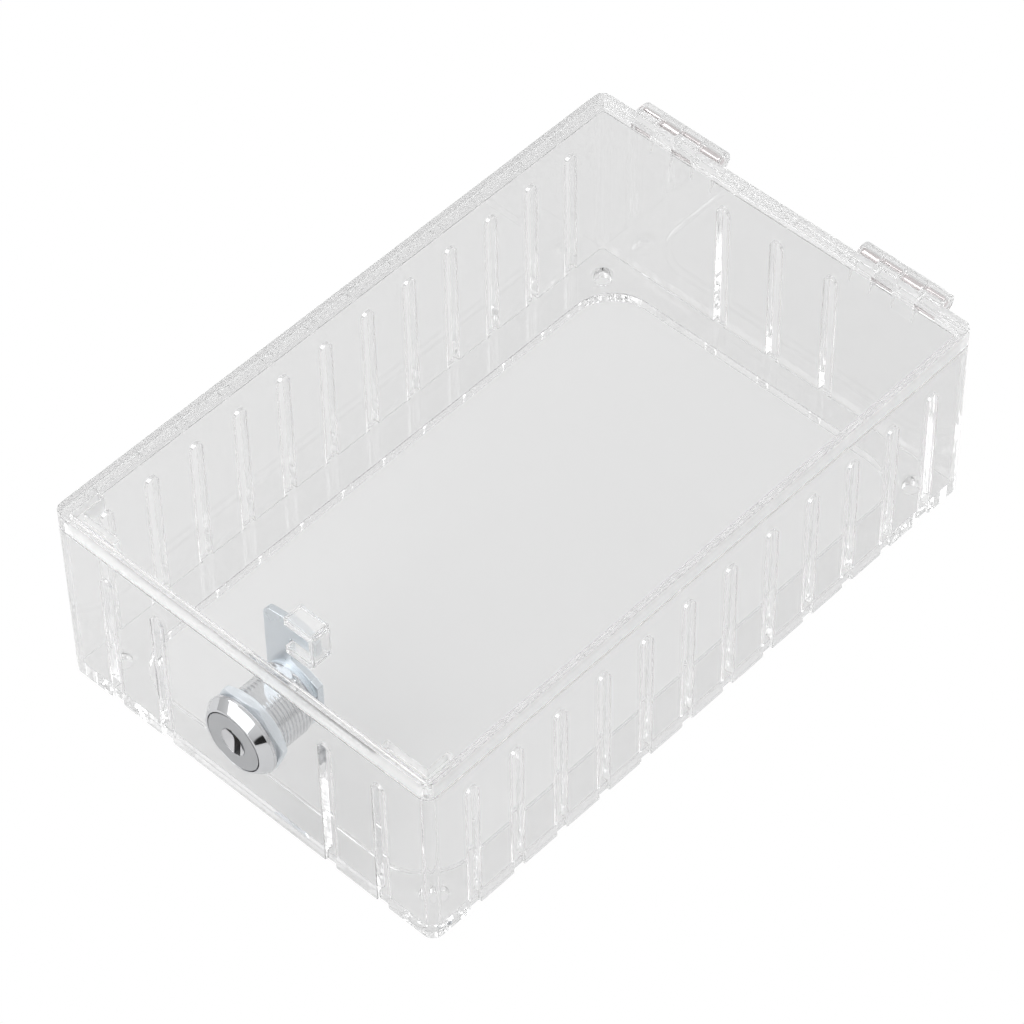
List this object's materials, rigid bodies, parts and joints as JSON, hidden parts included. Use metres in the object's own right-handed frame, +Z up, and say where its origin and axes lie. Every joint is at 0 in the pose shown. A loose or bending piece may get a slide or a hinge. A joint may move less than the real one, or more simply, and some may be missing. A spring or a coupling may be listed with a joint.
{
  "type": "lockable guard box",
  "caption": "Clear rectangular box with vent slots down its walls, a flat hinged lid, a cam lock in one short wall and screw holes in an open floor.",
  "frame": {"origin": "Centre of the rectangle of four screw holes, on the bottom face of the floor ring, which is also the centre of the bottom outline.", "axes": "X is the short side, Y runs from the lock wall at -Y to the hinge wall at +Y along the long side, Z is up from the mounting face to the lid."},
  "size_m": [0.115, 0.1891, 0.055],
  "materials": {
    "clear_plastic": "clear, colourless, polished",
    "pin_steel": "bare drawn steel",
    "chrome_plate": "bright chrome plate",
    "zinc_plate": "pale bluish zinc plate",
    "satin_plug": "satin grey",
    "wafer_brass": "stamped brass",
    "spring_steel": "spring wire"
  },
  "bodies": {
    "box": {"box_body": "clear_plastic", "hinge_pin_left": "pin_steel", "hinge_pin_right": "pin_steel", "lock_housing": "chrome_plate", "lock_nut": "zinc_plate"},
    "lid": {"lid": "clear_plastic", "lid_catch": "clear_plastic"},
    "plug": {"lock_plug": "satin_plug", "wafer_1": "wafer_brass", "wafer_2": "wafer_brass", "wafer_3": "wafer_brass", "wafer_4": "wafer_brass", "wafer_5": "wafer_brass", "spring_1": "spring_steel", "spring_2": "spring_steel", "spring_3": "spring_steel", "spring_4": "spring_steel", "spring_5": "spring_steel", "stop_washer": "zinc_plate", "cam": "zinc_plate", "cam_washer": "zinc_plate", "cam_screw": "zinc_plate"}
  },
  "joints": [
    {"name": "lid_hinge", "type": "hinge", "parent": "box", "child": "lid", "pos_m": [0, 0.093, 0.0523], "axis": [-1, 0, 0], "range_deg": [0, 180]},
    {"name": "lock_turn", "type": "hinge", "parent": "box", "child": "plug", "pos_m": [0.0005, -0.09, 0.025], "axis": [0, 1, 0], "range_deg": [-90, 0]}
  ]
}
